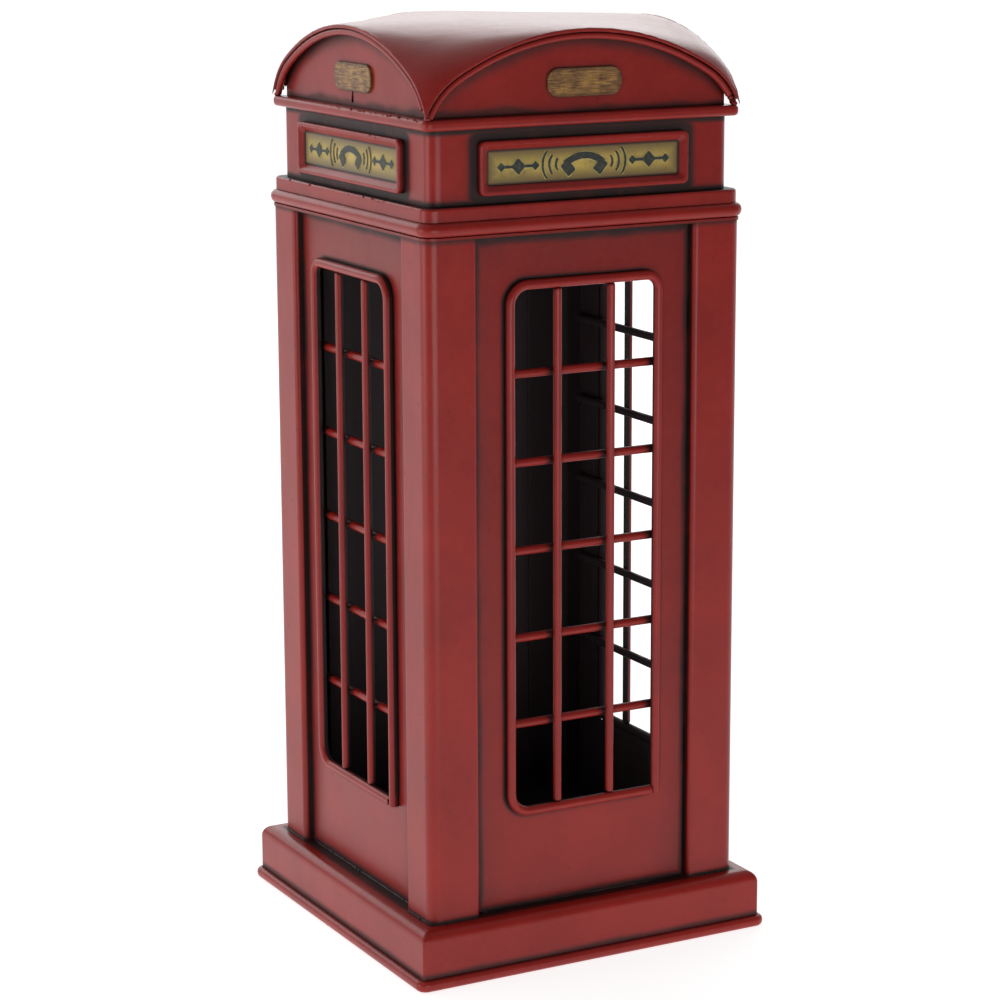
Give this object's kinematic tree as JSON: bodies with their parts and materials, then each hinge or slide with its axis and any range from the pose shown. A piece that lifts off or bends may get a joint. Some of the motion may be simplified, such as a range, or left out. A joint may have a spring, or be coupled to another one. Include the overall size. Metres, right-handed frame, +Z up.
{
  "type": "telephone booth model",
  "caption": "Sheet-metal model of a street telephone booth: barred windows, a hinged front door, blank sign panels and a low cross-vaulted roof.",
  "frame": {"origin": "centre of the footprint, on the ground", "axes": "+Z up, the front with the door faces -Y, +X to the right of someone facing the front"},
  "size_m": [0.1648, 0.1648, 0.3818],
  "materials": {
    "red_paint": "satin brick-red paint, rubbed black patina in the recesses, edges worn lighter",
    "aged_sign": "printed olive-yellow panel, mottled, darker at its edges",
    "antique_brass": "brushed antique gold over brown",
    "dark_steel": "blackened steel"
  },
  "bodies": {
    "booth": {"cornice_band": "red_paint", "cornice_bead": "red_paint", "crown_ring": "red_paint", "door_stops": "red_paint", "foot_ring": "red_paint", "front_arch_rod": "red_paint", "front_left_post": "red_paint", "front_pediment": "red_paint", "front_plaque": "antique_brass", "front_right_post": "red_paint", "front_sign_frame": "red_paint", "front_sign_plate": "aged_sign", "header_plate": "red_paint", "left_arch_rod": "red_paint", "left_pediment": "red_paint", "left_plaque": "antique_brass", "left_sign_frame": "red_paint", "left_sign_plate": "aged_sign", "left_wall": "red_paint", "left_window_crossbars": "red_paint", "left_window_frame": "red_paint", "left_window_upright_1": "red_paint", "left_window_upright_2": "red_paint", "plinth": "red_paint", "rear_arch_rod": "red_paint", "rear_left_post": "red_paint", "rear_pediment": "red_paint", "rear_plaque": "antique_brass", "rear_right_post": "red_paint", "rear_sign_frame": "red_paint", "rear_sign_plate": "aged_sign", "rear_wall": "red_paint", "right_arch_rod": "red_paint", "right_pediment": "red_paint", "right_plaque": "antique_brass", "right_sign_frame": "red_paint", "right_sign_plate": "aged_sign", "right_wall": "red_paint", "right_window_crossbars": "red_paint", "right_window_frame": "red_paint", "right_window_upright_1": "red_paint", "right_window_upright_2": "red_paint", "roof": "red_paint", "sign_box": "red_paint"},
    "door": {"door_crossbars": "red_paint", "door_leaf": "red_paint", "door_pivot_collar": "dark_steel", "door_pivot_rod": "dark_steel", "door_upright_1": "red_paint", "door_upright_2": "red_paint", "door_window_frame": "red_paint"}
  },
  "joints": [
    {"name": "door_swing", "type": "hinge", "parent": "booth", "child": "door", "pos_m": [-0.045, -0.06608, 0.1625], "axis": [0, 0, -1], "range_deg": [0, 105]}
  ]
}
